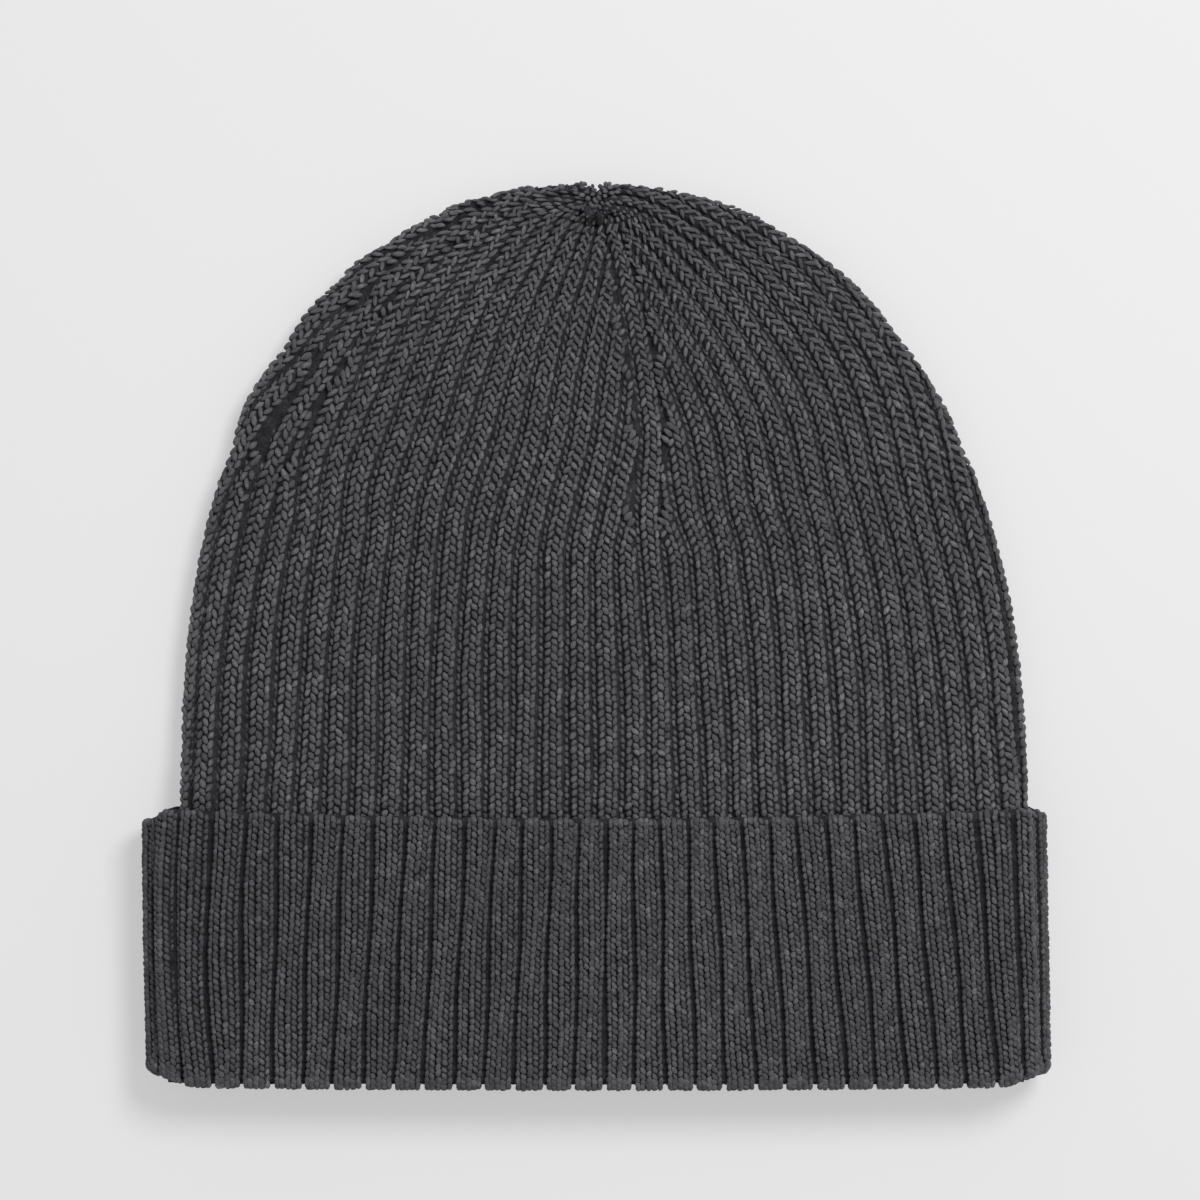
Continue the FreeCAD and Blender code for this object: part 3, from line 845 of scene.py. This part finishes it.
def cuff_point(rib, run, depth):
    """A point of the cuff: run is measured down the outside from the start edge.

    Below zero it goes over the rounded start edge, and past the outside's length it goes
    round the fold and back inside. depth is above the skin, and negative inwards.
    """
    rib, run, depth = np.broadcast_arrays(rib, run, depth)
    share = np.clip(run, 0, CUFF_RUN) / CUFF_RUN
    place, out = cuff_section(cuff_angle(rib, share))
    top, bottom = cuff_top(place[..., 0]), cuff_bottom(place[..., 0])
    tall = top - CUFF_EDGE_ROUND - bottom - FOLD_ROUND
    edge_turn = np.clip(-run / CUFF_EDGE_ROUND, 0, math.pi)
    fold_turn = np.clip((run - CUFF_RUN) / FOLD_ROUND, 0, math.pi)
    back = np.maximum(run - CUFF_RUN - math.pi * FOLD_ROUND, 0)
    over = np.maximum(-run - math.pi * CUFF_EDGE_ROUND, 0) * tall / CUFF_RUN
    edge_radius = CUFF_EDGE_ROUND + depth
    fold_radius = FOLD_ROUND + depth
    straight_y = top - CUFF_EDGE_ROUND - share * tall
    y = np.where(run < 0, straight_y + edge_radius * np.sin(edge_turn) - over,
                 straight_y - fold_radius * np.sin(fold_turn) + back)
    inward = np.where(run < 0, -CUFF_EDGE_ROUND + edge_radius * np.cos(edge_turn),
                      -FOLD_ROUND + fold_radius * np.cos(fold_turn))
    point = place + out * inward[..., None]
    point[..., 0] += CUFF_SHIFT * (share - 0.5)
    point[..., 1] = y
    return point


# Columns of one cuff rib, measured in ribs from its valley: place, tilt, length, width,
# thickness.
CUFF_COLUMNS = (
    (0.15, 14, 1.9, 1.0, 1.05),
    (0.31, -24, 1.95, 1.16, 1.2),
    (0.50, 22, 1.95, 1.24, 1.25),
    (0.685, -26, 1.9, 1.18, 1.15),
    (0.87, 14, 1.8, 1.05, 1.0),
)
CUFF_VALLEY_SHIFT = 0.2
VALLEY_SIDES = (0.11, 0.155)  # half widths of a valley to its right and left
DEEP_VALLEYS = (49, 50)  # the two beside the left edge
CUFF_VALLEY_DEPTH = 2.1
PAST_FOLD = 2  # how far the cuff goes on inside its fold
INSIDE_SINK = 0.1  # the shell's inner face, below the fabric's own
SHELF_DEPTH = 0.85  # the lower step to the left of each valley
FOLD_NOTCH = 1.1  # depth of the notches in the folded edge
CUFF_DIP = -13  # like BODY_DIP, but here the upper end comes out


def cuff_relief(rib, run):
    """Height of the cuff's surface below its crests, by place in ribs and distance down."""
    away = from_valley(rib - CUFF_VALLEY_SHIFT)
    width = np.where(away > 0, *VALLEY_SIDES)
    number = np.round(rib - CUFF_VALLEY_SHIFT)
    bow = np.isin(number % RIBS, DEEP_VALLEYS) * np.sin(math.pi * np.clip(run / CUFF_RUN, 0, 1))
    width = width * (1 + 0.6 * bow)
    shelf = -SHELF_DEPTH * smooth(-away, 0.0, 0.1) * smooth(away, -0.46, -0.34)
    deep = CUFF_VALLEY_DEPTH + 0.5 * bow
    deep = deep + 0.25 * np.sin(number * 2.3) + 0.15 * np.sin(number * 5.1 + run / 9)
    ribbed = -deep * np.exp(-np.abs(away / width) ** 1.7)
    crease = -0.35 * bell(away - 0.44, 0.04)
    at_fold = -FOLD_NOTCH * (1 - smooth(np.abs(away) * CUFF_RIB, 0.4, 1.15))
    near_fold = smooth(run, CUFF_RUN - 3.5, CUFF_RUN + 0.5)
    relief = np.minimum(ribbed, shelf) + crease
    relief = relief * (1 - near_fold) + at_fold * near_fold
    return relief * smooth(run, -3.6, -1.0)


def cuff_frames(rib, run, depth):
    """Position and unit directions across, down the rib and outward."""
    step_c, step_r = 0.03, 0.15
    here = cuff_point(rib, run, depth)
    across = cuff_point(rib + step_c, run, depth) - cuff_point(rib - step_c, run, depth)
    down = cuff_point(rib, run + step_r, depth) - cuff_point(rib, run - step_r, depth)
    across, down = unit(across), unit(down)
    return here, across, down, unit(np.cross(down, across))


def make_cuff_stitches(material):
    """The cuff's stitches from over its start edge to round its fold, in pieces."""
    runs = np.arange(-1.6, CUFF_RUN + math.pi * FOLD_ROUND + PAST_FOLD, CUFF_ROW)
    run, rib, kind = np.meshgrid(runs, np.arange(RIBS), np.arange(len(CUFF_COLUMNS)),
                                 indexing="ij")
    run, rib, kind = run.ravel(), rib.ravel().astype(float), kind.ravel()
    columns = np.array(CUFF_COLUMNS)[kind]
    run = run + np.where(np.isin(kind, (0, 2, 4)), 0.5, 0.0) * CUFF_ROW
    count = len(run)
    rib = rib + columns[:, 0] + CUFF_VALLEY_SHIFT
    relief = cuff_relief(rib, run)
    depth = relief - STITCH_DEPTH + rng.normal(0, 0.05, count)
    step = 0.02
    slope = (cuff_relief(rib + step, run) - cuff_relief(rib - step, run)) / (2 * step * CUFF_RIB)
    centre, across, down, out = cuff_frames(rib, run, depth)
    across, out = lay_on_slope(across, out, slope)
    tilt = np.radians(columns[:, 1] + rng.normal(0, 6, count))
    along = -down * np.cos(tilt)[:, None] + across * np.sin(tilt)[:, None]
    dip = math.radians(CUFF_DIP)
    along = along * math.cos(dip) - out * math.sin(dip)
    centre = centre + across * jitter(count, 0.07) + down * jitter(count, 0.07)
    size = rng.normal(1, 0.08, (count, 3)).clip(0.75, 1.25)
    length, width, height = (columns[:, 2 + k] * size[:, k] for k in range(3))
    at_fold = smooth(run, CUFF_RUN - 1, CUFF_RUN + 1)
    width = width * (1 + 0.25 * at_fold)
    stitches = (centre, along, out, length, width, height, np.full(count, 0.22))
    return grains_by_sector("cuff_stitches", material, cuff_angle(rib, run / CUFF_RUN),
                            CUFF_SECTORS, np.full(count, True), stitches)


def make_cuff_fabric(material):
    """The cuff's shell as a closed ring: start edge, ribbed outside, fold and inside."""
    edge_turn, fold_turn = math.pi * CUFF_EDGE_ROUND, math.pi * FOLD_ROUND
    runs = np.concatenate([
        np.linspace(-edge_turn - CUFF_RUN, -edge_turn, 24)[:-1],
        np.linspace(-edge_turn, 0, 9)[:-1],
        np.linspace(0, CUFF_RUN, 56)[:-1],
        np.linspace(CUFF_RUN, CUFF_RUN + fold_turn + PAST_FOLD, 22)])
    rib = np.linspace(0, RIBS, RIBS * 14, endpoint=False)
    run_grid, rib_grid = np.meshgrid(runs, rib, indexing="ij")
    outside = run_grid > -edge_turn * 0.6
    fill = 0.2 * smooth(run_grid, CUFF_RUN - 1, CUFF_RUN + 1)
    ribbed = cuff_relief(rib_grid, run_grid) - SHELL_DEPTH + fill
    depth = np.where(outside, ribbed, -INSIDE_SINK)
    lowest = -CUFF_EDGE_ROUND + 0.1 - (FABRIC - CUFF_EDGE_ROUND - 0.25) * smooth(run_grid, 0, 2)
    grid = cuff_point(rib_grid, run_grid, np.maximum(depth, lowest))
    return ring_mesh("cuff_fabric", material, grid)


# ---------- label and threads
def make_care_label(material):
    """A blank woven strip, folded in half and sewn by both ends beside the seam."""
    low, high = (np.array(corner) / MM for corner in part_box("care_label"))
    ply, steps = 0.2, 24
    middle_z = (low[2] + high[2]) / 2
    gap = (high[2] - low[2] - ply) / 2
    reach = np.linspace(0, 1, steps)
    fold = np.linspace(-math.pi / 2, math.pi / 2, 7)[1:-1]
    end_x = high[0] - gap - ply / 2
    x = np.concatenate([low[0] + reach * (end_x - low[0]), end_x + gap * np.cos(fold),
                        (low[0] + reach * (end_x - low[0]))[::-1]])
    z = np.concatenate([np.full(steps, -gap), gap * np.sin(fold), np.full(steps, gap)])
    y = np.linspace(low[1], high[1], 18)
    wave = 0.05 * np.sin(x / 5.0)[:, None] * np.cos(y / 4.0)[None]
    sheet = np.stack(np.broadcast_arrays(x[:, None], y[None], middle_z + z[:, None] + wave), -1)
    rows, columns = sheet.shape[:2]
    r, c = np.indices((rows - 1, columns - 1))
    corner = (r * columns + c).ravel()
    quads = np.stack([corner, corner + columns, corner + columns + 1, corner + 1], -1)
    uv = np.stack([quads // columns / (rows - 1), quads % columns / (columns - 1)], -1)
    piece = new_mesh("folded_care_label", material, sheet.reshape(-1, 3), quads.ravel(),
                     np.full(len(quads), 4), uv.reshape(-1, 2))
    solid = piece.modifiers.new("thickness", "SOLIDIFY")
    solid.thickness = ply * MM
    solid.offset = 0
    size = ((high[1] - low[1]) * MM, 2 * (high[0] - low[0]) * MM)
    return piece, size


def label_material():
    """Pale satin tape: fine crossing threads with a soft shine."""
    nodes = Nodes("label_satin")
    place = nodes.add("TexCoord")
    threads = nodes.add("TexWave", {"wave_type": "BANDS", "bands_direction": "Y"},
                        Vector=(place, "Object"), Scale=1100.0, Distortion=0.4)
    cross = nodes.add("TexWave", {"wave_type": "BANDS", "bands_direction": "X"},
                      Vector=(place, "Object"), Scale=700.0, Distortion=0.4)
    weave = nodes.maths("MULTIPLY", (threads, "Fac"), (cross, "Fac"))
    colour = nodes.ramp(weave, [(0.0, (0.50, 0.49, 0.47)), (1.0, (0.74, 0.73, 0.70))])
    bump = nodes.add("Bump", Strength=0.4, Distance=0.00005, Height=weave)
    shader = nodes.add("BsdfPrincipled", Base_Color=colour, Normal=(bump, "Normal"),
                       Roughness=0.42, Sheen_Weight=0.2)
    return nodes.surface(shader)


# ---------- stage
FLOOR_GLOW, FLOOR_PAINT, SKY_LIGHT = 0.43, 0.42, 0.42
CUFF_SHARE = 0.756  # of the picture's width, taken up by the cuff
SHOWN_WIDTH = 2 * CUFF_HALF_WIDTH / CUFF_SHARE
SHOWN_MIDDLE = (0.95, 8.0)  # the place under the camera


def make_stage():
    """A plain pale floor, soft light from the upper right, and the camera overhead."""
    reach = 4.0
    floor_mesh = bpy.data.meshes.new("floor")
    floor_mesh.from_pydata([(-reach, -reach, 0), (reach, -reach, 0), (reach, reach, 0),
                            (-reach, reach, 0)], [], [(0, 1, 2, 3)])
    floor = bpy.data.objects.new("floor", floor_mesh)
    bpy.context.scene.collection.objects.link(floor)
    # The floor is a lit panel as much as a painted one, so shadows on it stay pale.
    paint = Nodes("floor_panel")
    glow = paint.add("Emission", Color=(1, 1, 1, 1), Strength=FLOOR_GLOW)
    matt = paint.add("BsdfDiffuse", Color=(FLOOR_PAINT, FLOOR_PAINT, FLOOR_PAINT, 1))
    both = paint.add("AddShader", _0=(glow, "Emission"), _1=(matt, "BSDF"))
    paint.add("OutputMaterial", Surface=(both, "Shader"))
    floor_mesh.materials.append(paint.material)

    world = bpy.data.worlds.new("studio")
    world.use_nodes = True
    background = world.node_tree.nodes["Background"]
    background.inputs["Color"].default_value = (1, 1, 1, 1)
    background.inputs["Strength"].default_value = SKY_LIGHT
    bpy.context.scene.world = world

    key = bpy.data.lights.new("key", "AREA")
    key.shape = "DISK"
    lamp = bpy.data.objects.new("key", key)
    bearing, height, away = math.radians(50), math.radians(56), 1.3
    half_angle = math.radians(11)  # how large the lamp looks from the hat
    brightness = 1.95
    key.size = 2 * away * math.tan(half_angle)
    key.energy = brightness * math.pi * away ** 2
    lamp.rotation_euler = (math.pi / 2 - height, 0, math.pi / 2 + bearing)
    flat = away * math.cos(height)
    lamp.location = (flat * math.cos(bearing), flat * math.sin(bearing), away * math.sin(height))
    bpy.context.scene.collection.objects.link(lamp)

    camera = bpy.data.cameras.new("camera")
    camera.lens = 150
    camera.sensor_width = 36
    view = bpy.data.objects.new("camera", camera)
    distance = SHOWN_WIDTH * MM * camera.lens / camera.sensor_width
    view.location = (SHOWN_MIDDLE[0] * MM, SHOWN_MIDDLE[1] * MM, RAISED_Z * MM + distance)
    bpy.context.scene.collection.objects.link(view)
    bpy.context.scene.camera = view
    bpy.context.scene.view_settings.view_transform = "Standard"


CHARCOAL = (0.085, 0.085, 0.0915)
# Painted light and shade: body and cuff are one yarn, but the body's copy is painted paler and the
# cuff's darker, standing in for the deeper shade among the cuff's ribs.
BODY_PAINTED_PALER = 1.16  # the body's stitches against the cuff's


def dress(node, material):
    """Gives a CAD node that stays in view a better material."""
    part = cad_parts[node]
    if not part.material_slots:
        part.data.materials.append(material)
    for place in part.material_slots:
        place.material = material


def main():
    make_stage()
    # The two stitch materials are lit and shaded copies of one yarn: painted light and shade.
    body_yarn = stitch_material("body_stitches", [channel * BODY_PAINTED_PALER for channel in CHARCOAL])
    cuff_yarn = stitch_material("cuff_stitches", CHARCOAL)
    # The two shells are the same yarn painted far darker (depth 0.36 and 0.3): painted shade in the
    # gaps and valleys between the stitches, darkest on the cuff with its deeper valleys.
    shell = plain_yarn_material("body_shell_painted_shade", CHARCOAL, depth=0.36)
    cuff_shell_painted_shade = plain_yarn_material("cuff_shell_painted_shade", CHARCOAL, depth=0.3)
    thread = plain_yarn_material("seam_yarn", CHARCOAL)
    body = make_body_stitches(body_yarn)
    body += [make_fashion_marks(body_yarn), make_tip_gather(body_yarn), make_body_fabric(shell)]
    for piece in body:
        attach(piece, "hat")
        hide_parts("body_knit")
    for piece in make_cuff_stitches(cuff_yarn) + [make_cuff_fabric(cuff_shell_painted_shade)]:
        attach(piece, "cuff")
        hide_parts("cuff_knit")
    for node in ("body_seam_thread", "cuff_seam_thread", "crown_gathering_yarn",
                 "gathering_knot"):
        dress(node, thread)
    dress("care_label_stitches", plain_yarn_material("label_thread", (0.42, 0.42, 0.42)))
    label, cut = make_care_label(label_material())
    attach(label, "hat")
    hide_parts("care_label")


main()
